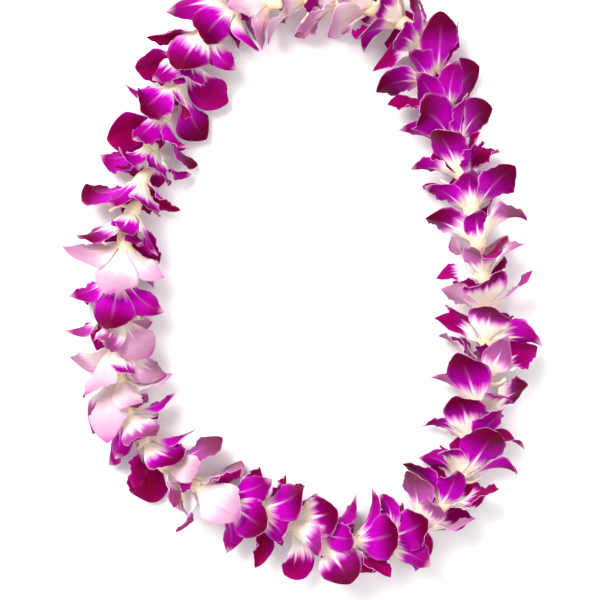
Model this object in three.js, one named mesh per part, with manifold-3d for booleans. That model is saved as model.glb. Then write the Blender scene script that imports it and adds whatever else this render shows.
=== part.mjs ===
// A fresh orchid lei: one closed strand of orchid blooms, all facing the same way along a thread
// that runs through their throats. Millimetres, +Z up. It lies on a level surface at Z = 0, with
// the back of the neck, where the thread is knotted, towards +Y.

import * as THREE from 'three';
import Module from 'manifold-3d';

const wasm = await Module();
wasm.setup();

// The thread's line seen from above, anticlockwise from the knot, which is the way that the
// blooms face, and the middle of the blooms' footprint, where the part's origin is.
const ROUTE = [
  [4, 184], [-38, 179], [-68, 152], [-85, 112], [-101, 68], [-113, 18], [-118, -36],
  [-113, -86], [-89, -121], [-48, -145], [-6, -161], [38, -174], [78, -166], [106, -137],
  [121, -92], [126, -38], [122, 18], [110, 72], [95, 122], [76, 163], [42, 181],
];
const MIDDLE = [5.05, 11.24];
const BLOOM_COUNT = 44;
const THREAD_HEIGHT = 22.4;

// The thread is tied in one knot, just behind the first bloom, with two short tails.
const THREAD = { radius: 0.6, sides: 5, steps: 66 };
const CHANNEL = { radius: 1.8, sides: 4 };
const KNOT = { behind: 15, radius: 1.7, halfGap: 0.8, tail: 6, tailLean: 20, tailSpread: 25 };

// The tepals by their angle round the bloom, from its upper sepal. Each has its length, its half
// width at the root and at the widest place, where that is along it, how full its outline is, its
// lean forward from square to the thread at root and tip, and how much its edges curl forward.
const SEPAL = {
  length: 35.5, root: 1.3, half: 9.2, widest: 0.5, claw: 2.4, blunt: 1, lean: 49, flare: 6, curl: 0.25,
  ahead: -3.2, rows: [0, 0.36, 0.74],
};
const PETAL = {
  length: 38, root: 1.5, half: 14.4, widest: 0.58, claw: 2.1, blunt: 0.6, lean: 53, flare: 16, curl: 0.1,
  ahead: -1.6, rows: [0, 0.36, 0.74],
};
const SIDE_SEPAL = { ...SEPAL, length: 35, half: 9.4, lean: 51 };
const TEPALS = [
  { angle: 0, form: SEPAL },
  { angle: 73, form: PETAL },
  { angle: 143, form: SIDE_SEPAL },
  { angle: 217, form: SIDE_SEPAL },
  { angle: 287, form: PETAL },
];
const TEPAL_ROOT = 3.8;
const TEPAL_COLUMNS = [-1, 0, 1];
const BLADE_THICKNESS = 1;

// Edges shorter than this are closed up where the parts of a bloom run into each other.
const SHORTEST_EDGE = 0.05;

// The lip stands opposite the upper sepal: two side lobes wrapped round the column, and a pointed
// middle lobe that opens forward.
const LIP_ANGLE = 180;
const LIP = { length: 23, root: 1.4, lean: 68, flare: 20, wrap: 75 };
const LIP_LOBES = [
  { half: 5.6, at: 0.3, span: 0.15 },
  { half: 6.2, at: 0.73, span: 0.18 },
];
const LIP_ROOT = { ahead: 0.8, out: 4.4 };
const LIP_ROWS = [0, 0.32, 0.74];
const LIP_COLUMNS = [-1, 0, 1];

// The body of the bloom from back to front, as rings that lie off the thread towards the lip:
// the blunt chin and the cup, with a side to each tepal. The column stands in the cup, on the
// lip's side of the thread.
const CUP = [
  { ahead: -10.2, radius: 2.8, off: 4.8 },
  { ahead: -4.8, radius: 5.6, off: 0.6 },
  { ahead: 1.8, radius: 5.6, off: 0.2 },
];
const CUP_SIDES = 5;
const COLUMN = [
  { ahead: 1, radius: 1.1, off: 3 },
  { ahead: 8.4, radius: 1.7, off: 5.2 },
];
const COLUMN_SIDES = 4;

// The cut stalk grows out of the cup's back and bends round between the blooms to either side.
const STALK_EVERY = 3;
const STALK = { ahead: -4.6, out: 2.9, length: 15, lean: -18, flare: 60, radius: 1.15, sides: 3, rows: 3 };

// How the blooms differ: turn from one to the next, slow waves of tilt along the strand, and what
// each bloom and tepal has of its own, in degrees or as a share of its length.
const SEED = 19;
const ROLL = { step: 137.5, play: 16 };
const TILT_UP = { wave: 0.18, waves: 5, play: 0.08 };
const TILT_OUTWARD = { wave: 0.15, waves: 7, play: 0.08 };
const TEPAL_PLAY = { lean: 9, flare: 20, twist: 24, size: 0.07, bend: 0.09 };
const STALK_PLAY = 30;

// A share of the tepals folds back, towards the bloom behind. A few blooms are turned on through
// an angle of their own, so that one broad petal lies face up beside the strand or folds back
// on top of it. Tepals are counted as in TEPALS.
const FOLD_BACK = { share: 0.1, flare: 45 };
const PLACED = {
  6: { roll: 58, faceUp: 4 },
  30: { roll: 0, faceUp: 4 },
  33: { roll: 70, foldedBack: 1 },
};

// Tepals above and below the thread lie further forward than those at its sides, and the lowest
// are pressed up by the surface. Those at the sides turn their backs up, more in some stretches
// than in others, and the share of them that TURN.over names is turned over, with its face up.
const LEAN = { top: 20, bottom: 6, wave: 4, waves: 4 };
const TURN = { mean: 48, wave: 22, waves: 6, over: 0.35 };
const PRESS = { depth: 20, blend: 2, keep: 0.35 };

const rad = THREE.MathUtils.degToRad;
const route = new THREE.CatmullRomCurve3(
  ROUTE.map(([x, y]) => new THREE.Vector3(x - MIDDLE[0], y - MIDDLE[1], THREAD_HEIGHT)),
  true, 'catmullrom', 0.5);
route.arcLengthDivisions = 2000;
const ROUTE_LENGTH = route.getLength();
const SPACING = ROUTE_LENGTH / BLOOM_COUNT;

// Places a point that is given along the thread, outward from the loop's middle, and up.
function onStrand(distance, outward, up) {
  const share = THREE.MathUtils.euclideanModulo(distance / ROUTE_LENGTH, 1);
  const tangent = route.getTangentAt(share);
  return route.getPointAt(share).add(new THREE.Vector3(tangent.y * outward, -tangent.x * outward, up));
}

// The surface presses what reaches far below the thread, and the space between closes up evenly.
function pressed(up) {
  const over = (-up - PRESS.depth) / PRESS.blend;
  return up + (1 - PRESS.keep) * PRESS.blend * Math.log1p(Math.exp(over));
}

// Park and Miller's generator, with its first draws thrown away, so that near seeds differ.
function drawsFrom(seed) {
  let state = seed;
  const next = () => {
    state = (state * 16807) % 2147483647;
    return state / 2147483647;
  };
  for (let i = 0; i < 5; i += 1) next();
  return (play) => play * (2 * next() - 1);
}

function bloomAt(index) {
  const draw = drawsFrom(SEED * 1000 + index);
  const placed = { roll: 0, ...PLACED[index] };
  const turn = (2 * Math.PI * index) / BLOOM_COUNT;
  const bloom = {
    distance: index * SPACING,
    turn,
    roll: ROLL.step * index + placed.roll + draw(ROLL.play),
    tiltUp: TILT_UP.wave * Math.sin(TILT_UP.waves * turn) + draw(TILT_UP.play),
    tiltOutward: TILT_OUTWARD.wave * Math.sin(TILT_OUTWARD.waves * turn) + draw(TILT_OUTWARD.play),
    stalkTurn: (index % 4 ? 90 : 270) + draw(STALK_PLAY),
    hasStalk: index % STALK_EVERY === 0,
  };
  bloom.tepals = TEPALS.map(({ angle, form }, number) => {
    const lean = draw(TEPAL_PLAY.lean);
    const flare = draw(TEPAL_PLAY.flare);
    const foldsBack = draw(1) > 1 - 2 * FOLD_BACK.share || number === placed.foldedBack;
    const twist = draw(TEPAL_PLAY.twist);
    const size = 1 + draw(TEPAL_PLAY.size);
    const bend = draw(TEPAL_PLAY.bend);
    const liesFaceUp = draw(1) > 1 - 2 * TURN.over || number === placed.faceUp;
    return {
      angle,
      form,
      lean,
      flare: foldsBack ? flare - FOLD_BACK.flare : flare,
      twist,
      size,
      bend,
      turned: liesFaceUp ? -1 : 1,
    };
  });
  return bloom;
}

// Places a point of a bloom that is given ahead of its middle, out from its axis at an angle from
// straight up, and sideways from there.
function onBloom(bloom, angle, ahead, out, side) {
  const turn = rad(angle);
  const outward = out * Math.sin(turn) + side * Math.cos(turn);
  const up = out * Math.cos(turn) - side * Math.sin(turn);
  const tilted = ahead + outward * bloom.tiltOutward + up * bloom.tiltUp;
  return onStrand(bloom.distance + tilted, outward, pressed(up));
}

// A line that leans forward from square to the thread, by one angle at its root and another at
// its tip: how far ahead and out it is at a share of its length.
function leaningLine(length, rootLean, tipLean, share) {
  const start = rad(rootLean);
  const turn = rad(tipLean) - start;
  const lean = start + turn * share;
  return {
    ahead: (length * (Math.cos(start) - Math.cos(lean))) / turn,
    out: (length * (Math.sin(lean) - Math.sin(start))) / turn,
    lean,
  };
}

function extraLean(bloom, angle) {
  const height = Math.cos(rad(angle));
  const wave = LEAN.wave * Math.sin(LEAN.waves * bloom.turn - rad(angle));
  return wave + (height > 0 ? LEAN.top * height : -LEAN.bottom * height);
}

function extraTwist(bloom, angle) {
  const wave = TURN.wave * Math.sin(TURN.waves * bloom.turn + rad(angle));
  return -Math.sin(rad(angle)) * (TURN.mean + wave);
}

function tepalHalf(form, share) {
  const power = Math.log(0.5) / Math.log(form.widest);
  const fullness = form.claw + (form.blunt - form.claw) * share;
  const swell = Math.sin(Math.PI * share ** power) ** fullness;
  return form.root * (1 - share) ** 2 + form.half * swell;
}

function tepalPoint(bloom, tepal, share, across) {
  const { form } = tepal;
  const angle = bloom.roll + tepal.angle;
  const extra = extraLean(bloom, angle);
  const length = form.length * tepal.size;
  const line = leaningLine(length, form.lean + extra + tepal.lean, form.flare + extra + tepal.flare, share);
  const half = share < 1 ? tepalHalf(form, share) * tepal.size : 0;
  const twist = rad(tepal.twist + tepal.turned * extraTwist(bloom, angle)) * Math.sqrt(share);
  const width = across * half;
  const lift = form.curl * half * across * across;
  const side = width * Math.cos(twist) - lift * Math.sin(twist) + tepal.bend * length * share * share;
  const inward = width * Math.sin(twist) + lift * Math.cos(twist);
  const ahead = form.ahead + line.ahead + inward * Math.cos(line.lean);
  const out = TEPAL_ROOT + line.out - inward * Math.sin(line.lean);
  return onBloom(bloom, angle, ahead, out, side);
}

function lipHalf(share) {
  const lobes = LIP_LOBES.map(({ half, at, span }) => half * Math.exp(-(((share - at) / span) ** 2)));
  return LIP.root * (1 - share) + lobes[0] + lobes[1];
}

function lipPoint(bloom, share, across) {
  const angle = bloom.roll + LIP_ANGLE;
  const extra = extraLean(bloom, angle);
  const line = leaningLine(LIP.length, LIP.lean + extra, LIP.flare + extra, share);
  const half = share < 1 ? lipHalf(share) : 0;
  const wrap = rad(LIP.wrap) * (1 - share) ** 1.5 + 0.1;
  const side = (half * Math.sin(wrap * across)) / wrap;
  const inward = (half * (1 - Math.cos(wrap * across))) / wrap;
  const ahead = LIP_ROOT.ahead + line.ahead + inward * Math.cos(line.lean);
  const out = LIP_ROOT.out + line.out - inward * Math.sin(line.lean);
  return onBloom(bloom, angle, ahead, out, side);
}

function solidFrom(points, triangles) {
  const volume = triangles.reduce((sum, [a, b, c]) =>
    sum + points[a].dot(points[b].clone().cross(points[c])), 0);
  const outward = triangles.map(([a, b, c]) => (volume > 0 ? [a, b, c] : [a, c, b]));
  return new wasm.Manifold(new wasm.Mesh({
    numProp: 3,
    vertProperties: new Float32Array(points.flatMap((point) => point.toArray())),
    triVerts: new Uint32Array(outward.flat()),
  }));
}

// A blade has full thickness along its inner columns and is sharp at both edges and at the tip.
// Both faces are split into triangles alike.
function blade(rows, columns, pointAt) {
  const grid = rows.map((share) => columns.map((across) => pointAt(share, across)));
  const tipPoint = pointAt(1, 0);
  const points = [];
  const add = (point) => points.push(point) - 1;
  const last = columns.length - 1;
  const faces = grid.map((row, j) => {
    const before = grid[Math.max(j - 1, 0)];
    const after = grid[Math.min(j + 1, rows.length - 1)];
    const upper = [];
    const lower = [];
    row.forEach((point, i) => {
      const edge = i === 0 || i === last;
      const along = after[i].clone().sub(before[i]);
      const across = row[Math.min(i + 1, last)].clone().sub(row[Math.max(i - 1, 0)]);
      const normal = along.cross(across).setLength(BLADE_THICKNESS / 2);
      upper.push(add(edge ? point : point.clone().add(normal)));
      lower.push(edge ? upper[i] : add(point.clone().sub(normal)));
    });
    return { upper, lower };
  });
  const tip = add(tipPoint);
  const first = faces[0];
  const end = faces[faces.length - 1];
  const triangles = [];
  for (let i = 0; i < last; i += 1) {
    for (let j = 0; j < faces.length - 1; j += 1) {
      const { upper, lower } = faces[j];
      const next = faces[j + 1];
      triangles.push([upper[i], next.upper[i], next.upper[i + 1]]);
      triangles.push([upper[i], next.upper[i + 1], upper[i + 1]]);
      triangles.push([lower[i], next.lower[i + 1], next.lower[i]]);
      triangles.push([lower[i], lower[i + 1], next.lower[i + 1]]);
    }
    triangles.push([end.upper[i], tip, end.upper[i + 1]], [end.lower[i], end.lower[i + 1], tip]);
    if (i < last - 1) triangles.push([first.upper[i], first.upper[i + 1], first.lower[i + 1]]);
    if (i > 0) triangles.push([first.upper[i], first.lower[i + 1], first.lower[i]]);
  }
  return solidFrom(points, triangles);
}

// A round solid through rings of points, closed flat at both ends.
function loft(rings) {
  const sides = rings[0].length;
  const triangles = [];
  for (let k = 0; k < sides; k += 1) {
    const next = (k + 1) % sides;
    for (let j = 0; j < rings.length - 1; j += 1) {
      const [low, high] = [j * sides, (j + 1) * sides];
      triangles.push([low + k, low + next, high + next], [low + k, high + next, high + k]);
    }
  }
  const top = (rings.length - 1) * sides;
  for (let k = 1; k < sides - 1; k += 1) {
    triangles.push([0, k + 1, k], [top, top + k, top + k + 1]);
  }
  return solidFrom(rings.flat(), triangles);
}

// Rings square to the thread, off its line towards an angle round the bloom.
function ringsOnBloom(bloom, angle, rings, sides) {
  return rings.map(({ ahead, radius, off }) => Array.from({ length: sides }, (_, k) => {
    const turn = (2 * Math.PI * k) / sides;
    return onBloom(bloom, angle, ahead, off + radius * Math.cos(turn), radius * Math.sin(turn));
  }));
}

function stalk(bloom) {
  const { ahead, out, length, lean, flare, radius, sides, rows } = STALK;
  const rings = Array.from({ length: rows }, (_, j) => {
    const line = leaningLine(length, lean, flare, j / (rows - 1));
    return Array.from({ length: sides }, (__, k) => {
      const turn = (2 * Math.PI * k) / sides;
      const off = radius * Math.cos(turn);
      return onBloom(bloom, bloom.stalkTurn, ahead + line.ahead + off * Math.cos(line.lean),
        out + line.out - off * Math.sin(line.lean), radius * Math.sin(turn));
    });
  });
  return loft(rings);
}

// The hole that the needle made, which follows the thread from behind the cup to its mouth.
function channel(bloom) {
  const ends = [CUP[0].ahead, CUP[CUP.length - 1].ahead + 2];
  return loft(ends.map((ahead) => Array.from({ length: CHANNEL.sides }, (_, k) => {
    const turn = (2 * Math.PI * (k + 0.5)) / CHANNEL.sides;
    return onStrand(bloom.distance + ahead, CHANNEL.radius * Math.cos(turn), CHANNEL.radius * Math.sin(turn));
  })));
}

const ground = loft([-20, 0].map((z) => [[-400, -400], [400, -400], [400, 400], [-400, 400]]
  .map(([x, y]) => new THREE.Vector3(x, y, z))));

function bloomSolid(bloom) {
  let solid = loft(ringsOnBloom(bloom, bloom.roll + LIP_ANGLE, CUP, CUP_SIDES));
  solid = solid.add(loft(ringsOnBloom(bloom, bloom.roll + LIP_ANGLE, COLUMN, COLUMN_SIDES)));
  if (bloom.hasStalk) solid = solid.add(stalk(bloom));
  solid = solid.add(blade(LIP_ROWS, LIP_COLUMNS, (share, across) => lipPoint(bloom, share, across)));
  bloom.tepals.forEach((tepal) => {
    solid = solid.add(blade(tepal.form.rows, TEPAL_COLUMNS,
      (share, across) => tepalPoint(bloom, tepal, share, across)));
  });
  return solid.subtract(channel(bloom)).subtract(ground).simplify(SHORTEST_EDGE);
}

class TiedThread extends THREE.Curve {
  getPoint(share) {
    const from = KNOT.halfGap - KNOT.behind;
    return onStrand(from + share * (ROUTE_LENGTH - 2 * KNOT.halfGap), 0, 0);
  }
}

function circleShape(radius, sides) {
  const corners = Array.from({ length: sides }, (_, k) => (2 * Math.PI * k) / sides)
    .map((turn) => new THREE.Vector2(radius * Math.cos(turn), radius * Math.sin(turn)));
  return new THREE.Shape(corners);
}

function solidFromGeometry(geometry) {
  const { position } = geometry.attributes;
  const points = [];
  const found = new Map();
  const corners = Array.from({ length: position.count }, (_, i) => {
    const point = new THREE.Vector3().fromBufferAttribute(position, i);
    const key = point.toArray().map((value) => value.toFixed(4)).join();
    if (!found.has(key)) found.set(key, points.push(point) - 1);
    return found.get(key);
  });
  const order = geometry.index ? Array.from(geometry.index.array) : corners.map((_, i) => i);
  const triangles = [];
  for (let i = 0; i < order.length; i += 3) {
    const [a, b, c] = [corners[order[i]], corners[order[i + 1]], corners[order[i + 2]]];
    if (a !== b && b !== c && c !== a) triangles.push([a, b, c]);
  }
  return solidFrom(points, triangles);
}

function threadSolid() {
  let solid = solidFromGeometry(new THREE.ExtrudeGeometry(circleShape(THREAD.radius, THREAD.sides),
    { steps: THREAD.steps, bevelEnabled: false, curveSegments: 1, extrudePath: new TiedThread() }));
  const centre = onStrand(-KNOT.behind, 0, 0);
  const knot = new THREE.IcosahedronGeometry(KNOT.radius, 0).translate(centre.x, centre.y, centre.z);
  solid = solid.add(solidFromGeometry(knot));
  const lastBloom = bloomAt(BLOOM_COUNT - 1);
  [-KNOT.tailSpread, KNOT.tailSpread].forEach((spread) => {
    const turn = rad(lastBloom.roll + spread);
    const reach = KNOT.tail * Math.cos(rad(KNOT.tailLean));
    const end = onStrand(KNOT.tail * Math.sin(rad(KNOT.tailLean)) - KNOT.behind,
      reach * Math.sin(turn), reach * Math.cos(turn));
    solid = solid.add(solidFromGeometry(new THREE.ExtrudeGeometry(
      circleShape(THREAD.radius, THREAD.sides),
      { steps: 1, bevelEnabled: false, curveSegments: 1, extrudePath: new THREE.LineCurve3(centre, end) })));
  });
  return solid;
}

function meshFrom(solid, name, material) {
  const { numProp, vertProperties, triVerts } = solid.getMesh();
  const geometry = new THREE.BufferGeometry();
  const points = [];
  for (let i = 0; i < vertProperties.length; i += numProp) points.push(...vertProperties.slice(i, i + 3));
  geometry.setAttribute('position', new THREE.Float32BufferAttribute(points, 3));
  geometry.setIndex(Array.from(triVerts));
  geometry.computeVertexNormals();
  const mesh = new THREE.Mesh(geometry, material);
  mesh.name = name;
  return mesh;
}

const cottonString = new THREE.MeshStandardMaterial({ color: 0xf2efe6, roughness: 0.9, metalness: 0 });
const lei = new THREE.Group();
lei.add(meshFrom(threadSolid(), 'stringing_thread', cottonString));
for (let index = 0; index < BLOOM_COUNT; index += 1) {
  const petalTissue = new THREE.MeshStandardMaterial({ color: 0xa814a0, roughness: 0.5, metalness: 0 });
  const name = `bloom_${String(index + 1).padStart(2, '0')}`;
  lei.add(meshFrom(bloomSolid(bloomAt(index)), name, petalTissue));
}

export default lei;
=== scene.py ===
import math

import bpy
import numpy as np
from mathutils.bvhtree import BVHTree
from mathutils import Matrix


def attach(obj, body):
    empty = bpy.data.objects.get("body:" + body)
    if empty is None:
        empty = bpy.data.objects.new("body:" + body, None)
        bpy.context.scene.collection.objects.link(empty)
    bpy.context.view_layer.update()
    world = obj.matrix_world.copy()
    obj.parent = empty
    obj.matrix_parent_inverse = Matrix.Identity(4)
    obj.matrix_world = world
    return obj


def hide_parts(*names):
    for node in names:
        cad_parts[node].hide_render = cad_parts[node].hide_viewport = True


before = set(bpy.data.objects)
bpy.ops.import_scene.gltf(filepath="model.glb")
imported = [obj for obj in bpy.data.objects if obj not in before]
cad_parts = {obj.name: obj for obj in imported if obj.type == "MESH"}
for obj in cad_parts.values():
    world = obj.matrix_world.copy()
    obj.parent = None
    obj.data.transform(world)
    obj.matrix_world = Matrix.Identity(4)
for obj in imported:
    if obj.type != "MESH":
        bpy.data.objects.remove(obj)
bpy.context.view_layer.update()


# The lei lies on white paper and is seen from straight above, a little below its middle. Soft
# daylight falls from the upper left and leaves faint grey shadows to the lower right.
VIEW_MIDDLE = (-0.00173, -0.02577)
VIEW_WIDTH = 0.396
STRAND_HEIGHT = 0.025
CAMERA_HEIGHT = 1.2
SENSOR_WIDTH = 36
DAYLIGHT = 0.86
WINDOWS = {
    "window": dict(place=(-0.7, 0.8, 1.5), size=0.9, power=36),
    "far_window": dict(place=(0.9, -0.5, 1.6), size=1.4, power=7),
}
PAPER_SIZE = 6
PAPER_WHITE = (0.95, 0.95, 0.95, 1)
PAPER_ROUGHNESS = 0.9

camera_data = bpy.data.cameras.new("camera")
camera_data.sensor_width = SENSOR_WIDTH
camera_data.lens = SENSOR_WIDTH * (CAMERA_HEIGHT - STRAND_HEIGHT) / VIEW_WIDTH
camera = bpy.data.objects.new("camera", camera_data)
camera.location = (*VIEW_MIDDLE, CAMERA_HEIGHT)
bpy.context.scene.collection.objects.link(camera)
bpy.context.scene.camera = camera
bpy.context.scene.view_settings.view_transform = "Standard"

world = bpy.data.worlds.new("daylight")
world.use_nodes = True
daylight = world.node_tree.nodes["Background"]
daylight.inputs["Color"].default_value = (1, 1, 1, 1)
daylight.inputs["Strength"].default_value = DAYLIGHT
bpy.context.scene.world = world

for window_name, window in WINDOWS.items():
    light_data = bpy.data.lights.new(window_name, "AREA")
    light_data.size = window["size"]
    light_data.energy = window["power"]
    light = bpy.data.objects.new(window_name, light_data)
    light.location = window["place"]
    aim = np.array((*VIEW_MIDDLE, 0)) - window["place"]
    light.rotation_euler = (math.atan2(math.hypot(aim[0], aim[1]), -aim[2]), 0,
                            math.atan2(aim[1], aim[0]) - math.pi / 2)
    bpy.context.scene.collection.objects.link(light)

bpy.ops.object.select_all(action="DESELECT")
bpy.ops.mesh.primitive_plane_add(size=PAPER_SIZE)
floor = bpy.context.object
floor.name = "floor"
paper = bpy.data.materials.new("white_paper")
paper.use_nodes = True
paper_shader = paper.node_tree.nodes["Principled BSDF"]
paper_shader.inputs["Base Color"].default_value = PAPER_WHITE
paper_shader.inputs["Roughness"].default_value = PAPER_ROUGHNESS
floor.data.materials.append(paper)


# The stringing thread is white cotton, two plies twisted together, pushed through every bloom with
# a needle. Its two ends are tied in a knot behind the first bloom and cut short.
MM = 0.001
ROUTE = [
    (4, 184), (-38, 179), (-68, 152), (-85, 112), (-101, 68), (-113, 18), (-118, -36),
    (-113, -86), (-89, -121), (-48, -145), (-6, -161), (38, -174), (78, -166), (106, -137),
    (121, -92), (126, -38), (122, 18), (110, 72), (95, 122), (76, 163), (42, 181),
]
ROUTE_MIDDLE = (5.05, 11.24)
ROUTE_SAMPLES = 2001
THREAD_HEIGHT = 22.4
LOWEST = 0.36
BLOOM_COUNT = 44

route_points = np.array(ROUTE, dtype=float) - ROUTE_MIDDLE


def route_at(station):
    """The thread's line and its direction, at a station that counts route points."""
    first = np.floor(station).astype(int)
    part = (station - first)[..., None]
    p0, p1, p2, p3 = (route_points[(first + i) % len(ROUTE)] for i in (-1, 0, 1, 2))
    slope_in, slope_out = (p2 - p0) / 2, (p3 - p1) / 2
    bend = 2 * p1 - 2 * p2 + slope_in + slope_out
    rise = 3 * p2 - 3 * p1 - 2 * slope_in - slope_out
    place = p1 + slope_in * part + rise * part ** 2 + bend * part ** 3
    heading = slope_in + 2 * rise * part + 3 * bend * part ** 2
    return place, heading / np.linalg.norm(heading, axis=-1, keepdims=True)


stations = np.linspace(0, len(ROUTE), ROUTE_SAMPLES)
steps = np.linalg.norm(np.diff(route_at(stations)[0], axis=0), axis=-1)
run = np.concatenate([[0], np.cumsum(steps)])
ROUTE_LENGTH = run[-1]
SPACING = ROUTE_LENGTH / BLOOM_COUNT


def on_strand(distance, outward, up):
    """Places points given along the thread, outward from the loop's middle, and up, in mm."""
    distance, outward, up = np.broadcast_arrays(distance, outward, up)
    place, heading = route_at(np.interp(distance % ROUTE_LENGTH, run, stations))
    side = np.stack([heading[..., 1], -heading[..., 0]], axis=-1)
    flat = place + side * outward[..., None]
    return np.concatenate([flat, (up + THREAD_HEIGHT)[..., None]], axis=-1)


def set_points(piece, points):
    """Gives a mesh its vertices, from millimetres, none lower than about half a blade's thickness."""
    points = np.asarray(points, dtype=float) * MM
    points[:, 2] = np.maximum(points[:, 2], LOWEST * MM)
    piece.data.vertices.foreach_set("co", points.ravel())
    piece.data.update()


def linear(red, green, blue):
    """A colour from the usual 0 to 255 values."""
    values = np.array([red, green, blue]) / 255
    return (*np.where(values <= 0.04045, values / 12.92, ((values + 0.055) / 1.055) ** 2.4), 1)


THREAD_RADIUS = 0.6
THREAD_SIDES = 8
THREAD_STEP = 0.8
THREAD_SEAM = 0.02
PLY_TURN = 3.2
PLY_WAIST = 0.72


def cord(name, line, reference):
    """Two plies twisted together along a line of points, closed at both ends."""
    bpy.ops.object.select_all(action="DESELECT")
    bpy.ops.mesh.primitive_grid_add(x_subdivisions=THREAD_SIDES, y_subdivisions=len(line) - 1, size=2)
    piece = bpy.context.object
    piece.name = name
    flat = np.array([corner.co for corner in piece.data.vertices])
    ring = np.rint((flat[:, 1] + 1) / 2 * (len(line) - 1)).astype(int)
    along = np.gradient(line, axis=0)
    side = np.cross(along, reference)
    side /= np.linalg.norm(side, axis=-1, keepdims=True)
    up = np.cross(side, along)
    up /= np.linalg.norm(up, axis=-1, keepdims=True)
    run_here = np.concatenate([[0], np.cumsum(np.linalg.norm(np.diff(line, axis=0), axis=-1))])
    around = (flat[:, 0] + 1) * math.pi
    ply = THREAD_RADIUS * (PLY_WAIST + (1 - PLY_WAIST) * np.abs(np.cos(around)))
    twist = around + 2 * math.pi * run_here[ring] / PLY_TURN
    set_points(piece, line[ring] + (ply * np.cos(twist))[:, None] * side[ring]
               + (ply * np.sin(twist))[:, None] * up[ring])
    bpy.ops.object.mode_set(mode="EDIT")
    bpy.ops.mesh.select_all(action="SELECT")
    bpy.ops.mesh.remove_doubles(threshold=THREAD_SEAM * MM)
    bpy.ops.mesh.select_all(action="DESELECT")
    bpy.ops.mesh.select_non_manifold()
    bpy.ops.mesh.fill_holes(sides=0)
    bpy.ops.mesh.select_all(action="SELECT")
    bpy.ops.mesh.normals_make_consistent(inside=False)
    bpy.ops.object.mode_set(mode="OBJECT")
    return piece


KNOT_BEHIND = 15
KNOT_HALF_GAP = 0.8
KNOT_LOOP = 0.36
KNOT_DEPTH = 1.3
KNOT_POINTS = 73
TAIL_TURN = 157
TAIL_LENGTH = 6.5
TAIL_SPREAD = 25
TAIL_DRIFT = 0.35
TAIL_SAG = 0.02
TAIL_POINTS = 12

thread_length = ROUTE_LENGTH - 2 * KNOT_HALF_GAP
reached = KNOT_HALF_GAP - KNOT_BEHIND + np.linspace(0, thread_length, int(thread_length / THREAD_STEP))
thread = cord("cotton_thread", on_strand(reached, 0, 0), (0, 0, 1))
knot_place = on_strand(-KNOT_BEHIND, 0, 0)
# The knot is a trefoil, the closed form of an overhand knot.
winding = np.linspace(0, 2 * math.pi, KNOT_POINTS)
loops = KNOT_LOOP * np.stack([np.sin(winding) + 2 * np.sin(2 * winding),
                              -KNOT_DEPTH * np.sin(3 * winding),
                              np.cos(winding) - 2 * np.cos(2 * winding)], axis=-1)
strands = [thread, cord("knot", knot_place + loops, loops)]
for spread in (-TAIL_SPREAD, TAIL_SPREAD):
    turn = math.radians(TAIL_TURN + spread)
    reach = np.linspace(0, TAIL_LENGTH, TAIL_POINTS)
    sag = TAIL_SAG * reach ** 2
    tail = on_strand(TAIL_DRIFT * reach - sag - KNOT_BEHIND, reach * math.sin(turn),
                     reach * math.cos(turn) - sag)
    strands.append(cord("tail", tail, on_strand(1 - KNOT_BEHIND, 0, 0) - knot_place))

COTTON_SHADES = (linear(205, 198, 184), linear(250, 247, 240))
COTTON_ROUGHNESS = 0.9
FIBRE_SCALE = 2600
FIBRE_DETAIL = 4
FUZZ_HEIGHT = 0.1 * MM

cotton = bpy.data.materials.new("white_cotton")
cotton.use_nodes = True
cotton_nodes = cotton.node_tree.nodes
fibre = cotton_nodes.new("ShaderNodeTexNoise")
fibre.inputs["Scale"].default_value = FIBRE_SCALE
fibre.inputs["Detail"].default_value = FIBRE_DETAIL
place_of_cotton = cotton_nodes.new("ShaderNodeTexCoord")
cotton.node_tree.links.new(place_of_cotton.outputs["Object"], fibre.inputs["Vector"])
shades = cotton_nodes.new("ShaderNodeValToRGB")
for shade, stop in zip(COTTON_SHADES, shades.color_ramp.elements):
    stop.color = shade
cotton.node_tree.links.new(fibre.outputs["Fac"], shades.inputs["Fac"])
fuzz = cotton_nodes.new("ShaderNodeBump")
fuzz.inputs["Distance"].default_value = FUZZ_HEIGHT
cotton.node_tree.links.new(fibre.outputs["Fac"], fuzz.inputs["Height"])
cotton_shader = cotton_nodes["Principled BSDF"]
cotton_shader.inputs["Roughness"].default_value = COTTON_ROUGHNESS
cotton.node_tree.links.new(shades.outputs["Color"], cotton_shader.inputs["Base Color"])
cotton.node_tree.links.new(fuzz.outputs["Normal"], cotton_shader.inputs["Normal"])

bpy.ops.object.select_all(action="DESELECT")
for strand in strands:
    strand.data.materials.append(cotton)
    strand.select_set(True)
bpy.context.view_layer.objects.active = thread
bpy.ops.object.join()
bpy.ops.object.shade_smooth()
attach(thread, "root")
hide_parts("stringing_thread")


# The blooms face the same way along the thread. Each is turned on from the one before it, tilted
# with its neighbours in slow waves, and a little different in every tepal, as real ones are.
SEED = 19
GENERATOR = dict(factor=16807, modulus=2147483647, seed_step=1000, thrown_away=5)
SEPAL = dict(length=35.5, root=1.3, half=9.2, widest=0.5, claw=1.2, blunt=1, lean=49, flare=6,
             curl=0.25, ahead=-3.2, nod=0.2, tip_twist=76, roll=0.5, is_sepal=1)
PETAL = dict(length=38, root=1.5, half=14.4, widest=0.58, claw=1.2, blunt=0.75, lean=53, flare=16,
             curl=0.1, ahead=-1.6, nod=0.14, tip_twist=44, roll=0.28, is_sepal=0)
SIDE_SEPAL = {**SEPAL, "length": 35, "half": 9.4, "lean": 51}
TEPALS = [(0, SEPAL), (73, PETAL), (143, SIDE_SEPAL), (217, SIDE_SEPAL), (287, PETAL)]
TEPAL_PLAY = dict(lean=9, flare=20, twist=24, size=0.07, bend=0.09)
ROLL_STEP, ROLL_PLAY = 137.5, 16
TILT_UP = dict(wave=0.18, waves=5, play=0.08)
TILT_OUTWARD = dict(wave=0.15, waves=7, play=0.08)
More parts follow.
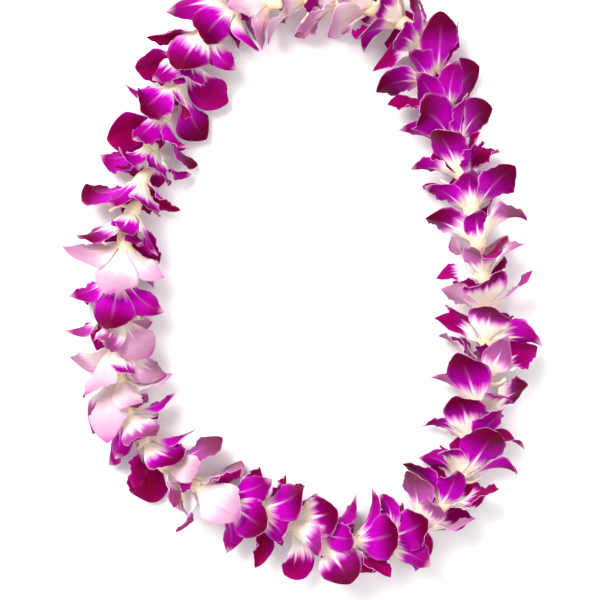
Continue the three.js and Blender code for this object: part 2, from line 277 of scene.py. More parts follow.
LEAN = dict(top=20, bottom=6, wave=4, waves=4)
TURN = dict(mean=48, wave=22, waves=6, over=0.35)
FOLD_BACK = dict(share=0.1, flare=45)
PLACED = {6: dict(roll=58, face_up=4), 30: dict(face_up=4), 33: dict(roll=70, folded_back=1)}
PRESS = dict(depth=20, blend=2, keep=0.35)
STALK_EVERY, STALK_PLAY = 3, 30
STALK_SIDE, STALK_OTHER_SIDE, OTHER_SIDE_EVERY = 90, 270, 4


def draws_from(seed):
    """Even draws between -1 and 1, each worked out from the one before. The first few are thrown
    away, so that near seeds differ."""
    state = seed
    for _ in range(GENERATOR["thrown_away"]):
        state = state * GENERATOR["factor"] % GENERATOR["modulus"]
    while True:
        state = state * GENERATOR["factor"] % GENERATOR["modulus"]
        yield 2 * state / GENERATOR["modulus"] - 1


def bloom_at(index):
    """One bloom's place and turn on the thread, and the play in each of its five tepals."""
    draw = draws_from(SEED * GENERATOR["seed_step"] + index)
    placed = PLACED.get(index, {})
    turn = 2 * math.pi * index / BLOOM_COUNT
    bloom = dict(distance=index * SPACING, turn=turn)
    bloom["roll"] = ROLL_STEP * index + placed.get("roll", 0) + ROLL_PLAY * next(draw)
    for key, tilt in (("tilt_up", TILT_UP), ("tilt_outward", TILT_OUTWARD)):
        bloom[key] = tilt["wave"] * math.sin(tilt["waves"] * turn) + tilt["play"] * next(draw)
    stalk_side = STALK_SIDE if index % OTHER_SIDE_EVERY else STALK_OTHER_SIDE
    bloom["stalk_turn"] = stalk_side + STALK_PLAY * next(draw)
    bloom["has_stalk"] = index % STALK_EVERY == 0
    bloom["tepals"] = []
    for number, (angle, form) in enumerate(TEPALS):
        lean, flare = (TEPAL_PLAY[key] * next(draw) for key in ("lean", "flare"))
        if next(draw) > 1 - 2 * FOLD_BACK["share"] or number == placed.get("folded_back"):
            flare -= FOLD_BACK["flare"]
        twist, size, bend = (TEPAL_PLAY[key] * next(draw) for key in ("twist", "size", "bend"))
        face_up = next(draw) > 1 - 2 * TURN["over"] or number == placed.get("face_up")
        bloom["tepals"].append(dict(lean=lean, flare=flare, twist=twist, size=1 + size, bend=bend,
                                    turned=-1 if face_up else 1, angle=angle, form=form))
    return bloom


def on_bloom(bloom, angle, ahead, out, side):
    """Places points given ahead of a bloom's middle, out from its axis at an angle from straight
    up, and sideways from there. The paper presses back what reaches far below the thread."""
    turn = math.radians(angle)
    outward = out * math.sin(turn) + side * math.cos(turn)
    up = out * math.cos(turn) - side * math.sin(turn)
    tilted = ahead + outward * bloom["tilt_outward"] + up * bloom["tilt_up"]
    over = (-up - PRESS["depth"]) / PRESS["blend"]
    pressed = up + (1 - PRESS["keep"]) * PRESS["blend"] * np.log1p(np.exp(over))
    return on_strand(bloom["distance"] + tilted, outward, pressed)


def leaning_line(length, root_lean, tip_lean, share):
    """How far ahead and out a line is at a share of its length, and its lean there, where it leans
    forward from square to the thread by one angle at its root and another at its tip."""
    start = math.radians(root_lean)
    turn = math.radians(tip_lean) - start
    lean = start + turn * share
    return (length * (math.cos(start) - np.cos(lean)) / turn,
            length * (np.sin(lean) - math.sin(start)) / turn, lean)


def extra_lean(bloom, angle):
    """Blades on top of the strand lean further forward than at its sides, and a little so below it."""
    height = math.cos(math.radians(angle))
    wave = LEAN["wave"] * math.sin(LEAN["waves"] * bloom["turn"] - math.radians(angle))
    return wave + (LEAN["top"] * height if height > 0 else -LEAN["bottom"] * height)


def extra_twist(bloom, angle):
    """Blades at the strand's two sides twist, so that they show a surface from above."""
    wave = TURN["wave"] * math.sin(TURN["waves"] * bloom["turn"] + math.radians(angle))
    return -math.sin(math.radians(angle)) * (TURN["mean"] + wave)


# The five tepals are thin fresh blades, about 0.7 mm thick and thinner at their margins, narrow at
# the claw, with a midrib, faint lengthwise veins, and waved and ruffled margins. Sepals are pointed.
TEPAL_ROOT = 3.8
BLADE_THICKNESS = 0.7
BLADE_COLUMNS = 16
BLADE_ROWS = 32
TIP_CROWDING = 1.35
MARGIN_THINNING = 0.6
MIDRIB = dict(depth=0.4, width=0.12)
VEINS = dict(height=0.07, count=9)
WAVES = dict(height=1.5, count=(1.6, 3.2), inward=2.5)
RUFFLES = dict(height=0.6, count=8, inward=6)
FOLD = (0.14, 0.12)
FOLD_SOFTNESS = 0.01

bpy.ops.object.select_all(action="DESELECT")
bpy.ops.mesh.primitive_grid_add(x_subdivisions=BLADE_COLUMNS, y_subdivisions=BLADE_ROWS, size=2)
flat_blade = bpy.context.object
flat_blade.name = "flat_blade"
blade_points = np.array([corner.co for corner in flat_blade.data.vertices])
ACROSS = blade_points[:, 0]
SHARE = 1 - (1 - (blade_points[:, 1] + 1) / 2) ** TIP_CROWDING
flesh = flat_blade.vertex_groups.new(name="flesh")
for number, spread in enumerate(ACROSS):
    flesh.add([number], 1 - MARGIN_THINNING * abs(spread) ** 3, "REPLACE")
blade_uv = flat_blade.data.uv_layers[0]
blade_uv.name = "blade"
for loop in flat_blade.data.loops:
    blade_uv.data[loop.index].uv = ((ACROSS[loop.vertex_index] + 1) / 2, SHARE[loop.vertex_index])


def fine_form(fine, form, liveliness=1):
    """What one blade has of its own: its margins' waves, its fold, and how its tip nods and twists."""
    own = {key: liveliness * form[key] * fine.uniform(-1, 1) for key in ("nod", "tip_twist", "roll")}
    own["counts"] = fine.uniform(*WAVES["count"], 2)
    own["phases"] = fine.random(2)
    own["fold"] = liveliness * fine.normal(*FOLD)
    return own


def margin_waves(own):
    """Gentle waves and small ruffles along the margins, not alike on the two sides."""
    count, phase = (np.where(ACROSS < 0, *own[key]) for key in ("counts", "phases"))
    wave = WAVES["height"] * np.sin(2 * math.pi * (count * SHARE + phase))
    ruffle = np.sin(2 * math.pi * (RUFFLES["count"] * SHARE + 3 * phase))
    ruffle *= np.abs(ACROSS) ** RUFFLES["inward"]
    livelier = RUFFLES["height"] * (count - WAVES["count"][0])
    return wave * np.abs(ACROSS) ** WAVES["inward"] + livelier * ruffle


def tepal_points(bloom, tepal, own):
    """The blade's middle surface, with the form that this tepal has of its own."""
    form = tepal["form"]
    angle = bloom["roll"] + tepal["angle"]
    extra = extra_lean(bloom, angle)
    length = form["length"] * tepal["size"]
    ahead, out, lean = leaning_line(length, form["lean"] + extra + tepal["lean"],
                                    form["flare"] + extra + tepal["flare"], SHARE)
    power = math.log(0.5) / math.log(form["widest"])
    fullness = form["claw"] + (form["blunt"] - form["claw"]) * SHARE
    swell = np.clip(np.sin(math.pi * SHARE ** power), 0, 1) ** fullness
    half = (form["root"] * (1 - SHARE) ** 2 + form["half"] * swell) * tepal["size"]
    rib = MIDRIB["depth"] * np.exp(-(ACROSS / MIDRIB["width"]) ** 2) * (1 - SHARE)
    veins = VEINS["height"] * np.cos(VEINS["count"] * math.pi * ACROSS) * swell
    crease = np.sqrt(ACROSS ** 2 + FOLD_SOFTNESS) - math.sqrt(FOLD_SOFTNESS)
    fold = own["fold"] * half * crease * SHARE
    curl = (form["curl"] + own["roll"] * SHARE) * half * ACROSS ** 2
    lift = curl + fold + margin_waves(own) * swell - rib + veins
    twist = tepal["twist"] + tepal["turned"] * extra_twist(bloom, angle)
    twist = np.radians(twist * np.sqrt(SHARE) + own["tip_twist"] * SHARE ** 3)
    width = ACROSS * half
    side = width * np.cos(twist) - lift * np.sin(twist) + tepal["bend"] * length * SHARE ** 2
    inward = width * np.sin(twist) + lift * np.cos(twist) + own["nod"] * length * SHARE ** 3
    return on_bloom(bloom, angle, form["ahead"] + ahead + inward * np.cos(lean),
                    TEPAL_ROOT + out - inward * np.sin(lean), side)


# The lip is the sixth blade, opposite the upper sepal. Two side lobes wrap round the column, and
# the middle lobe opens forward to a point. Its face is the darkest velvet of the bloom.
LIP_ANGLE = 180
LIP = dict(length=23, root=1.4, lean=68, flare=20, wrap=75, least_wrap=0.1, ruffles=0.7)
LIP_LOBES = [(5.6, 0.3, 0.15), (6.2, 0.73, 0.18)]
LIP_ROOT = (0.8, 4.4)
LIP_TIP = dict(share=0.12, blunt=0.6)
LIP_KEELS = dict(height=0.35, count=4, spread=0.4)


def lip_points(bloom, own):
    """The lip's middle surface, with three keels along its middle."""
    angle = bloom["roll"] + LIP_ANGLE
    extra = extra_lean(bloom, angle)
    ahead, out, lean = leaning_line(LIP["length"], LIP["lean"] + extra, LIP["flare"] + extra, SHARE)
    lobes = sum(half * np.exp(-((SHARE - at) / span) ** 2) for half, at, span in LIP_LOBES)
    half = np.where(SHARE < 1, LIP["root"] * (1 - SHARE) + lobes, 0)
    half *= np.clip((1 - SHARE) / LIP_TIP["share"], 0, 1) ** LIP_TIP["blunt"]
    wrap = np.radians(LIP["wrap"]) * (1 - SHARE) ** 1.5 + LIP["least_wrap"]
    side = half * np.sin(wrap * ACROSS) / wrap
    inward = half * (1 - np.cos(wrap * ACROSS)) / wrap + LIP["ruffles"] * margin_waves(own)
    keels = np.cos(LIP_KEELS["count"] * math.pi * ACROSS)
    inward += LIP_KEELS["height"] * keels * np.exp(-(ACROSS / LIP_KEELS["spread"]) ** 2)
    return on_bloom(bloom, angle, LIP_ROOT[0] + ahead + inward * np.cos(lean),
                    LIP_ROOT[1] + out - inward * np.sin(lean), side)


# Behind the tepals the bloom is a waxy cup with a blunt chin below the thread. The column stands in
# the cup with a small cap on its end. The stalk was cut when the bloom was picked.
CUP = [
    (0, -10.9, 0.0, 4.9), (0.08, -10.7, 1.3, 4.9), (0.16, -10.1, 2.5, 4.7), (0.28, -8.6, 3.7, 3.6),
    (0.42, -6.4, 4.7, 1.9), (0.54, -4.2, 5.2, 0.8), (0.66, -1.2, 5.5, 0.4), (0.76, 1.0, 5.5, 0.2),
    (0.83, 2.1, 4.9, 0.2), (0.89, 1.4, 3.8, 0.1), (0.95, -0.8, 2.2, 0.0), (1, -2.2, 0.0, 0.0),
]
COLUMN = [
    (0, 0.2, 0.0, 3.0), (0.1, 0.4, 1.5, 3.0), (0.45, 4.5, 1.3, 3.9), (0.62, 6.9, 1.5, 4.6),
    (0.72, 7.6, 2.0, 4.9), (0.86, 8.8, 1.8, 5.3), (0.95, 9.5, 0.9, 5.5), (1, 9.6, 0.0, 5.5),
]
FLUTES = dict(depth=0.05, count=5)
STALK = dict(ahead=-4.6, out=2.9, length=15, lean=-18, flare=60, radius=1.15)
STALK_PROFILE = [(0, 0.0, 0.0), (0.04, 0.0, 1.5), (0.3, 0.3, 1.05), (0.7, 0.7, 0.9),
                 (0.9, 0.96, 1.1), (0.97, 1.0, 0.95), (1, 1.0, 0.0)]


def round_template(name, segments, rings):
    """A ball to shape firm parts from, with each vertex's angle around and share along its axis."""
    bpy.ops.object.select_all(action="DESELECT")
    bpy.ops.mesh.primitive_uv_sphere_add(segments=segments, ring_count=rings)
    piece = bpy.context.object
    piece.name = name
    piece.data.uv_layers[0].name = "blade"
    points = np.array([corner.co for corner in piece.data.vertices])
    station = np.arccos(np.clip(points[:, 2], -1, 1)) / math.pi
    return piece, np.arctan2(points[:, 1], points[:, 0]), station


ball, BALL_AROUND, BALL_STATION = round_template("ball", segments=18, rings=16)
bead, BEAD_AROUND, BEAD_STATION = round_template("bead", segments=10, rings=12)


def ringed_points(bloom, profile, around, station):
    """The surface of the cup or the column, faintly fluted. A row of its profile is a share of the
    way along it, then how far ahead it is, its radius, and how far off the thread it is."""
    at, ahead, radius, off = np.array(profile).T
    ahead, radius, off = (np.interp(station, at, values) for values in (ahead, radius, off))
    radius *= 1 + FLUTES["depth"] * np.cos(FLUTES["count"] * around + math.pi)
    return on_bloom(bloom, bloom["roll"] + LIP_ANGLE, ahead, off + radius * np.cos(around),
                    radius * np.sin(around))


def stalk_points(bloom):
    """The surface of the cut stalk, thicker at both ends."""
    at, share, radius = np.array(STALK_PROFILE).T
    share, radius = (np.interp(BEAD_STATION, at, values) for values in (share, radius))
    ahead, out, lean = leaning_line(STALK["length"], STALK["lean"], STALK["flare"], share)
    off = STALK["radius"] * radius * np.cos(BEAD_AROUND)
    return on_bloom(bloom, bloom["stalk_turn"], STALK["ahead"] + ahead + off * np.cos(lean),
                    STALK["out"] + out - off * np.sin(lean),
                    STALK["radius"] * radius * np.sin(BEAD_AROUND))


# Colour lies in the tissue in soft clouds and streaks. It is worked out from shades, steps and
# noise, all of them read from the place on the blade or on the bloom.
OWN_SHIFT = 60.0


def wire(tree, value, socket):
    """Gives a socket a plain value, or links another socket to it."""
    if isinstance(value, bpy.types.NodeSocket):
        tree.links.new(value, socket)
    else:
        socket.default_value = value


def math_of(tree, operation, *values):
    node = tree.nodes.new("ShaderNodeMath")
    node.operation = operation
    for value, socket in zip(values, node.inputs):
        wire(tree, value, socket)
    return node.outputs[0]


def product(tree, first, second):
    return math_of(tree, "MULTIPLY", first, second)


def smooth_step(tree, value, low, high):
    """A mask that rises softly from 0 to 1 between two values."""
    node = tree.nodes.new("ShaderNodeMapRange")
    node.interpolation_type = "SMOOTHSTEP"
    for item, socket in zip((value, low, high), node.inputs):
        wire(tree, item, socket)
    return node.outputs[0]


def mix_colours(tree, factor, first, second):
    node = tree.nodes.new("ShaderNodeMix")
    node.data_type = "RGBA"
    for item, socket in zip((factor, first, second), (node.inputs[0], node.inputs[6], node.inputs[7])):
        wire(tree, item, socket)
    return node.outputs[2]


def layered(tree, colour, layers):
    """Lays shades over a colour one by one, each as far as its mask times an amount."""
    for mask, amount, shade in layers:
        colour = mix_colours(tree, product(tree, mask, amount), colour, shade)
    return colour


def noise_at(tree, vector, scale, detail=2.0):
    noise = tree.nodes.new("ShaderNodeTexNoise")
    noise.inputs["Scale"].default_value = scale
    noise.inputs["Detail"].default_value = detail
    wire(tree, vector, noise.inputs["Vector"])
    return noise.outputs["Fac"]


def streaks(tree, across, share, own, across_scale, share_scale, detail):
    """Noise drawn out along the blade, different on each tepal."""
    place = tree.nodes.new("ShaderNodeCombineXYZ")
    wire(tree, product(tree, across, across_scale), place.inputs[0])
    wire(tree, product(tree, share, share_scale), place.inputs[1])
    wire(tree, product(tree, own, OWN_SHIFT), place.inputs[2])
    return noise_at(tree, place.outputs[0], 1, detail)


def relief(tree, height, strength, distance):
    """The fine unevenness of a surface, for the shader's Normal."""
    bump = tree.nodes.new("ShaderNodeBump")
    bump.inputs["Strength"].default_value = strength
    bump.inputs["Distance"].default_value = distance
    wire(tree, height, bump.inputs["Height"])
    return bump.outputs["Normal"]


# Every blade carries the same marks: white runs up from the claw in ragged flames, furthest along
# the midrib, fine veins run to the tip, and the margin is paler in places.
FLAME_STREAKS = dict(across_scale=4.5, share_scale=1.0, detail=2.5)
VEIN_STREAKS = dict(across_scale=19.0, share_scale=1.6, detail=2.0)
EDGE_STREAKS = dict(across_scale=0.8, share_scale=5.0, detail=1.0)
RIB_WIDTH = 0.12
VEIN_SPAN = (0.5, 0.68)
FLAME_BELOW, FLAME_ABOVE = 0.2, 0.13
PALENESS_REACH = 0.25
OWN_REACH, OWN_MIDDLE = 0.3, 0.45
EDGE_SPAN, EDGE_GAPS = (0.86, 1.0), (0.35, 0.65)
CELL_SCALE, CELL_HEIGHT = 1500, 0.25

marks = bpy.data.node_groups.new("petal_marks", "ShaderNodeTree")
for socket_name in ("Reach", "Raggedness", "Rib Reach"):
    marks.interface.new_socket(socket_name, in_out="INPUT", socket_type="NodeSocketFloat")
for socket_name in ("Colour", "Vein", "Rib", "Side", "Margin", "Tip", "Near", "Far", "Paleness",
                    "Sepal", "Height"):
    marks.interface.new_socket(socket_name, in_out="OUTPUT", socket_type="NodeSocketFloat")
given = marks.nodes.new("NodeGroupInput").outputs
result = marks.nodes.new("NodeGroupOutput").inputs
blade_map = marks.nodes.new("ShaderNodeUVMap")
blade_map.uv_map = "blade"
blade_parts = marks.nodes.new("ShaderNodeSeparateXYZ")
wire(marks, blade_map.outputs[0], blade_parts.inputs[0])
own_values = marks.nodes.new("ShaderNodeAttribute")
own_values.attribute_name = "own"
own_parts = marks.nodes.new("ShaderNodeSeparateColor")
wire(marks, own_values.outputs["Color"], own_parts.inputs[0])
own_draw, paleness, is_sepal = own_parts.outputs
mark_across = math_of(marks, "MULTIPLY_ADD", blade_parts.outputs[0], 2.0, -1.0)
mark_share = blade_parts.outputs[1]
from_rib = math_of(marks, "ABSOLUTE", mark_across)
on_rib = math_of(marks, "SUBTRACT", 1.0, smooth_step(marks, from_rib, 0.0, RIB_WIDTH))
flame_noise = streaks(marks, mark_across, mark_share, own_draw, **FLAME_STREAKS)
vein_noise = streaks(marks, mark_across, mark_share, own_draw, **VEIN_STREAKS)
edge_noise = streaks(marks, mark_across, mark_share, own_draw, **EDGE_STREAKS)
ragged = product(marks, math_of(marks, "SUBTRACT", flame_noise, 0.5), given["Raggedness"])
ragged_share = math_of(marks, "ADD", mark_share, ragged)
rib_loss = product(marks, on_rib, given["Rib Reach"])
ragged_share = math_of(marks, "SUBTRACT", ragged_share, rib_loss)
pale_reach = math_of(marks, "MULTIPLY_ADD", paleness, PALENESS_REACH, given["Reach"])
own_reach = math_of(marks, "SUBTRACT", own_draw, OWN_MIDDLE)
pale_reach = math_of(marks, "MULTIPLY_ADD", own_reach, OWN_REACH, pale_reach)
flame_start = math_of(marks, "SUBTRACT", pale_reach, FLAME_BELOW)
flame_end = math_of(marks, "ADD", pale_reach, FLAME_ABOVE)
at_edge = smooth_step(marks, from_rib, *EDGE_SPAN)
pale_edge = product(marks, at_edge, smooth_step(marks, edge_noise, *EDGE_GAPS))
cell_place = marks.nodes.new("ShaderNodeTexCoord")
cells = noise_at(marks, cell_place.outputs["Object"], CELL_SCALE)
for mark_name, mask in (
    ("Colour", smooth_step(marks, ragged_share, flame_start, flame_end)),
    ("Vein", smooth_step(marks, vein_noise, *VEIN_SPAN)),
    ("Rib", on_rib),
    ("Side", smooth_step(marks, from_rib, 0.3, 1.0)),
    ("Margin", pale_edge),
    ("Tip", smooth_step(marks, mark_share, 0.84, 1.0)),
    ("Near", smooth_step(marks, mark_share, 0.02, 0.26)),
    ("Far", smooth_step(marks, mark_share, 0.34, 0.88)),
    ("Paleness", paleness),
    ("Sepal", is_sepal),
    ("Height", math_of(marks, "MULTIPLY_ADD", cells, CELL_HEIGHT, vein_noise)),
):
    wire(marks, mask, result[mark_name])


# Petal tissue is soft, moist and a little see-through, so light spreads in it. Blades are violet
# and magenta with dark far ends behind, and crimson velvet on their faces.
WHITE = linear(255, 253, 252)
CREAM = linear(255, 245, 226)
IVORY = linear(252, 238, 194)
PALE_MAUVE = linear(242, 200, 222)
MAUVE = linear(196, 138, 176)
BLUSH = linear(232, 208, 212)
PINK = linear(236, 152, 218)
VIOLET = linear(186, 4, 178)
MAGENTA = linear(154, 0, 126)
PLUM = linear(122, 0, 74)
MAROON = linear(94, 0, 36)
CRIMSON = linear(138, 0, 56)
WINE = linear(84, 0, 34)
TISSUE_GLOSS = 0.025
TISSUE_RELIEF = 0.4 * MM
TISSUE_GLOW = dict(weight=0.25, radius=(1.0, 0.4, 0.7), scale=0.8 * MM)
PALE_SPAN, PINK_SPAN, DEEP_START = (0.0, 0.25), (0.15, 0.5), 0.2
CRIMSON_SPAN = (0.55, 1.0)
PETAL_FAR, SEPAL_FAR = 0.95, 0.4


def glow(shader, weight, radius, scale):
    """Lets light spread in the tissue."""
    shader.inputs["Subsurface Weight"].default_value = weight
    shader.inputs["Subsurface Radius"].default_value = radius
    shader.inputs["Subsurface Scale"].default_value = scale


def tissue(name, roughness, bump, reach, raggedness, rib_reach, sheen=0.0):
    """A material with the marks placed in it, and its mark and colour sockets to build on."""
    material = bpy.data.materials.new(name)
    material.use_nodes = True
    tree = material.node_tree
    group = tree.nodes.new("ShaderNodeGroup")
    group.node_tree = marks
    group.inputs["Reach"].default_value = reach
    group.inputs["Raggedness"].default_value = raggedness
    group.inputs["Rib Reach"].default_value = rib_reach
    shader = tree.nodes["Principled BSDF"]
    shader.inputs["Roughness"].default_value = roughness
    shader.inputs["Sheen Weight"].default_value = sheen
    shader.inputs["Specular IOR Level"].default_value = TISSUE_GLOSS
    glow(shader, **TISSUE_GLOW)
    wire(tree, relief(tree, group.outputs["Height"], bump, TISSUE_RELIEF), shader.inputs["Normal"])
    return material, tree, group.outputs, shader.inputs["Base Color"]


def flames(tree, mark, claw, deep, full_at):
    """From the claw's white through pale mauve and pink to the deep colour."""
    base = mix_colours(tree, smooth_step(tree, mark["Colour"], *PALE_SPAN), claw, PALE_MAUVE)
    base = mix_colours(tree, smooth_step(tree, mark["Colour"], *PINK_SPAN), base, PINK)
    return mix_colours(tree, smooth_step(tree, mark["Colour"], DEEP_START, full_at), base, deep)


def faded(tree, mark, strong, claw, veins, far_end, pale_span, most):
    """The strong colours on most blooms, and blush and mauve with violet tips on the pale ones."""
    mauve = math_of(tree, "MULTIPLY_ADD", mark["Vein"], veins, product(tree, mark["Far"], far_end))
    faint = layered(tree, mix_colours(tree, mauve, claw, MAUVE), [(mark["Tip"], 0.7, VIOLET)])
    return layered(tree, strong, [(smooth_step(tree, mark["Paleness"], *pale_span), most, faint)])


tepal_back, tree, mark, colour = tissue(
    "tepal_back", roughness=0.45, bump=0.35, reach=0.34, raggedness=0.32, rib_reach=0.14)
near_rib = product(tree, mark["Rib"], math_of(tree, "SUBTRACT", 1.0, mark["Far"]))
petal_far = product(tree, mark["Far"], math_of(tree, "MULTIPLY_ADD", mark["Sepal"],
                                               SEPAL_FAR - PETAL_FAR, PETAL_FAR))
sepal_tip = product(tree, mark["Tip"], mark["Sepal"])
deep = layered(tree, VIOLET, [
    (mark["Far"], 1.0, MAGENTA), (mark["Vein"], 0.3, PLUM), (petal_far, 1.0, MAROON),
    (near_rib, 0.2, PINK), (mark["Margin"], 0.4, PINK), (sepal_tip, 0.5, PALE_MAUVE),
])
strong = flames(tree, mark, mix_colours(tree, mark["Near"], IVORY, CREAM), deep, full_at=0.85)
pale_claw = mix_colours(tree, mark["Near"], IVORY, BLUSH)
wire(tree, faded(tree, mark, strong, pale_claw, veins=0.2, far_end=0.8, pale_span=(0.45, 0.9),
                 most=0.94), colour)

tepal_face, tree, mark, colour = tissue(
    "tepal_face", roughness=0.55, bump=0.45, reach=0.33, raggedness=0.34, rib_reach=0.08)
deep = layered(tree, MAGENTA, [
    (smooth_step(tree, mark["Colour"], *CRIMSON_SPAN), 1.0, CRIMSON), (mark["Vein"], 0.5, WINE),
    (mark["Side"], 0.45, MAGENTA), (mark["Margin"], 0.3, VIOLET), (mark["Paleness"], 0.3, VIOLET),
])
strong = flames(tree, mark, WHITE, deep, full_at=0.7)
wire(tree, faded(tree, mark, strong, BLUSH, veins=0.25, far_end=0.7, pale_span=(0.6, 0.95),
                 most=0.8), colour)

lip_back, tree, mark, colour = tissue(
    "lip_back", roughness=0.5, bump=0.35, reach=0.22, raggedness=0.25, rib_reach=0.1, sheen=0.03)
deep = layered(tree, MAGENTA, [(mark["Vein"], 0.5, CRIMSON)])
wire(tree, mix_colours(tree, mark["Colour"], PALE_MAUVE, deep), colour)

lip_face, tree, mark, colour = tissue(
    "lip_face", roughness=0.6, bump=0.5, reach=0.16, raggedness=0.3, rib_reach=0.05, sheen=0.08)
deep = layered(tree, CRIMSON, [(mark["Vein"], 0.7, WINE)])
wire(tree, mix_colours(tree, mark["Colour"], PINK, deep), colour)

MARGIN = dict(roughness=0.5, bump=0.2, reach=0.3, raggedness=0.34, rib_reach=0.16)
tepal_margin, tree, mark, colour = tissue("tepal_margin", **MARGIN)
veined = mix_colours(tree, mark["Vein"], PINK, VIOLET)
wire(tree, mix_colours(tree, mark["Colour"], CREAM, veined), colour)
lip_margin, tree, mark, colour = tissue("lip_margin", **MARGIN)
wire(tree, mix_colours(tree, mark["Colour"], PINK, MAGENTA), colour)


# The cup, its chin, the column and the stalk are firm and waxy, with a smoother skin than a petal.
# They're ivory or white, with a faint flush of peach or pink.
WAX_GLOW = dict(weight=0.2, radius=(1.0, 0.7, 0.6), scale=1 * MM)
WAX_RELIEF = dict(strength=0.2, distance=0.2 * MM)
CLOUD_SCALE, CLOUD_SPAN = 170, (0.4, 0.7)
PORE_SCALE = 1800
PEACH = linear(248, 210, 200)


def waxy(name, body_colour, flush_colour, flush, roughness):
    """Firm pale tissue, with a flush of colour in soft clouds."""
    material = bpy.data.materials.new(name)
    material.use_nodes = True
    tree = material.node_tree
    place = tree.nodes.new("ShaderNodeTexCoord").outputs["Object"]
    shader = tree.nodes["Principled BSDF"]
    clouds = smooth_step(tree, noise_at(tree, place, CLOUD_SCALE), *CLOUD_SPAN)
    wire(tree, layered(tree, body_colour, [(clouds, flush, flush_colour)]), shader.inputs["Base Color"])
    pores = noise_at(tree, place, PORE_SCALE)
    wire(tree, relief(tree, pores, **WAX_RELIEF), shader.inputs["Normal"])
    shader.inputs["Roughness"].default_value = roughness
    glow(shader, **WAX_GLOW)
    return material


chin_wax = waxy("chin_wax", IVORY, PEACH, flush=0.6, roughness=0.35)
column_wax = waxy("column_wax", WHITE, PINK, flush=0.3, roughness=0.3)
MATERIALS = [tepal_back, tepal_face, tepal_margin, lip_back, lip_face, lip_margin, chin_wax, column_wax]
TEPAL_SLOT, LIP_SLOT, CHIN_SLOT, COLUMN_SLOT = 0, 3, 6, 7
FACE_OFFSET, MARGIN_OFFSET = 1, 2
for template in (flat_blade, ball, bead):
    for material in MATERIALS:
        template.data.materials.append(material)
    template.data.attributes.new("own", "FLOAT_COLOR", "POINT")


# Some plants bear paler blooms than others, and they're strung as they come. Each tepal has a
# paleness, marks and a form of its own.
PALE_BLOOMS = (0, 1, 10, 12, 13, 14, 17, 18, 25, 29, 30, 32, 33, 34, 42, 43)
PALE_RANGE = (0.5, 0.95)
DEEP_RANGE = (0, 0.35)
PALENESS_PLAY = 0.15
ROOT_SHARE = 0.3

BLADE_FACES, BALL_FACES, BEAD_FACES = ([tuple(face.vertices) for face in template.data.polygons]
                                       for template in (flat_blade, ball, bead))
OUTER_FACES = [face for face in BLADE_FACES if SHARE[list(face)].mean() > ROOT_SHARE]


def blade_trees(points):
    """Search trees of a blade's faces, all of them and those past its root."""
    return [BVHTree.FromPolygons(points, faces) for faces in (BLADE_FACES, OUTER_FACES)]


blooms = [bloom_at(index) for index in range(BLOOM_COUNT)]
for index, bloom in enumerate(blooms):
    fine = np.random.default_rng(index)
    bloom_paleness = fine.uniform(*(PALE_RANGE if index in PALE_BLOOMS else DEEP_RANGE))
    for tepal in bloom["tepals"]:
        tepal_paleness = np.clip(bloom_paleness + fine.normal(0, PALENESS_PLAY), 0, 1)
        tepal["own"] = (fine.random(), tepal_paleness, tepal["form"]["is_sepal"])
        tepal["points"] = tepal_points(bloom, tepal, fine_form(fine, tepal["form"]))
        tepal["trees"] = blade_trees(tepal["points"])
    bloom["own"] = (fine.random(), bloom_paleness, 0)
    bloom["lip"] = lip_points(bloom, fine_form(fine, PETAL))
    bloom["lip_trees"] = blade_trees(bloom["lip"])
    bloom["cup"] = ringed_points(bloom, CUP, BALL_AROUND, BALL_STATION)
    bloom["column"] = ringed_points(bloom, COLUMN, BEAD_AROUND, BEAD_STATION)
    bloom["firm_trees"] = [BVHTree.FromPolygons(bloom["cup"], BALL_FACES),
                           BVHTree.FromPolygons(bloom["column"], BEAD_FACES)]
    if bloom["has_stalk"]:
        bloom["stalk"] = stalk_points(bloom)
        bloom["firm_trees"].append(BVHTree.FromPolygons(bloom["stalk"], BEAD_FACES))


# Tepals push each other aside and never grow through one another, though those of one bloom meet
# at their roots. One that would cross what lies round it takes another form, calmer each time.
ROUNDS = 3
TRIES = 12
NEIGHBOURS = (-3, -2, -1, 1, 2, 3)


def crossings(trees, near, beside):
    """How many faces of a blade cross near blooms, or cross its own bloom's blades past the root."""
    whole, outer = trees
    through_near = sum(len(whole.overlap(tree)) for tree in near)
    return through_near + sum(len(outer.overlap(tree)) for tree in beside)


def settle(bloom, around, again):
    """Gives a bloom's tepals forms that cross less of their own bloom and of those around it."""
    near = [tree for other in around for tree in (other["lip_trees"][0], *other["firm_trees"])]
    near += [tepal["trees"][0] for other in around for tepal in other["tepals"]]
    for tepal in bloom["tepals"]:
        beside = [other["trees"][1] for other in bloom["tepals"] if other is not tepal]
        beside.append(bloom["lip_trees"][1])
        least = crossings(tepal["trees"], near, beside)
        for liveliness in np.linspace(1, 0, TRIES):
            if least == 0:
                break
            points = tepal_points(bloom, tepal, fine_form(again, tepal["form"], liveliness))
            trees = blade_trees(points)
            found = crossings(trees, near, beside)
            if found < least:
                least = found
                tepal.update(points=points, trees=trees)


again = np.random.default_rng(SEED)
for _ in range(ROUNDS):
    for index, bloom in enumerate(blooms):
        settle(bloom, [blooms[(index + step) % BLOOM_COUNT] for step in NEIGHBOURS], again)


# Each bloom grew as one piece. Its six blades get their thickness together, and its firm parts are
# rounded, before all of it is joined. The thread through it holds it in its place.
BLADE_SEAM = 0.01


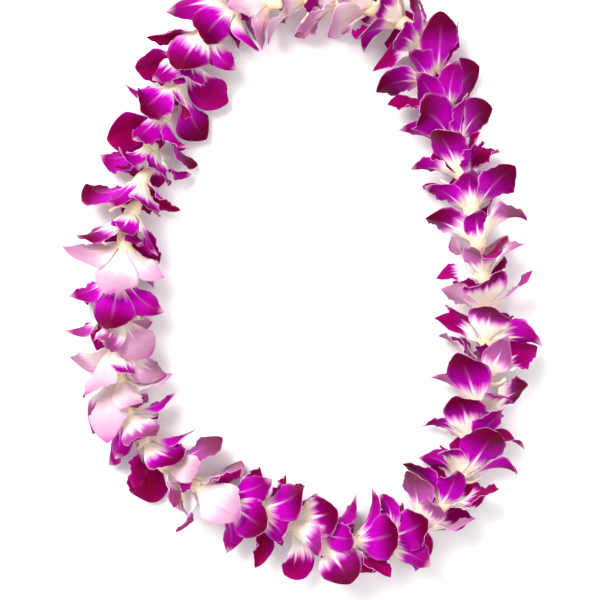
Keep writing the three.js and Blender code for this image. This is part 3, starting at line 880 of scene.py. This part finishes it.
def copy_of(template, points, slot, own_draws):
    """A copy of a template with its own points, material and draws."""
    piece = template.copy()
    piece.data = template.data.copy()
    bpy.context.scene.collection.objects.link(piece)
    set_points(piece, points)
    piece.data.polygons.foreach_set("material_index", [slot] * len(piece.data.polygons))
    piece.data.attributes["own"].data.foreach_set("color", [*own_draws, 1.0] * len(piece.data.vertices))
    return piece


def joined(pieces):
    bpy.ops.object.select_all(action="DESELECT")
    for piece in pieces:
        piece.select_set(True)
    bpy.context.view_layer.objects.active = pieces[0]
    bpy.ops.object.join()
    return bpy.context.object


for index, bloom in enumerate(blooms):
    blades = [copy_of(flat_blade, tepal["points"], TEPAL_SLOT, tepal["own"]) for tepal in bloom["tepals"]]
    blades.append(copy_of(flat_blade, bloom["lip"], LIP_SLOT, bloom["own"]))
    piece = joined(blades)
    piece.name = f"orchid_{index + 1:02d}"
    bpy.ops.object.mode_set(mode="EDIT")
    bpy.ops.mesh.select_all(action="SELECT")
    bpy.ops.mesh.remove_doubles(threshold=BLADE_SEAM * MM)
    bpy.ops.object.mode_set(mode="OBJECT")
    shell = piece.modifiers.new("thickness", "SOLIDIFY")
    shell.thickness = BLADE_THICKNESS * MM
    shell.offset = 0
    shell.vertex_group = "flesh"
    shell.material_offset = FACE_OFFSET
    shell.material_offset_rim = MARGIN_OFFSET
    bpy.ops.object.modifier_apply(modifier=shell.name)
    firm = [copy_of(ball, bloom["cup"], CHIN_SLOT, bloom["own"]),
            copy_of(bead, bloom["column"], COLUMN_SLOT, bloom["own"])]
    if bloom["has_stalk"]:
        firm.append(copy_of(bead, bloom["stalk"], CHIN_SLOT, bloom["own"]))
    body = joined(firm)
    bpy.ops.object.mode_set(mode="EDIT")
    bpy.ops.mesh.select_all(action="SELECT")
    bpy.ops.mesh.normals_make_consistent(inside=False)
    bpy.ops.object.mode_set(mode="OBJECT")
    rounding = body.modifiers.new("rounding", "SUBSURF")
    rounding.levels = rounding.render_levels = 1
    bpy.ops.object.modifier_apply(modifier=rounding.name)
    piece = joined([piece, body])
    bpy.ops.object.shade_smooth()
    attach(piece, "root")
    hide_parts(f"bloom_{index + 1:02d}")

for template in (flat_blade, ball, bead):
    bpy.data.objects.remove(template)
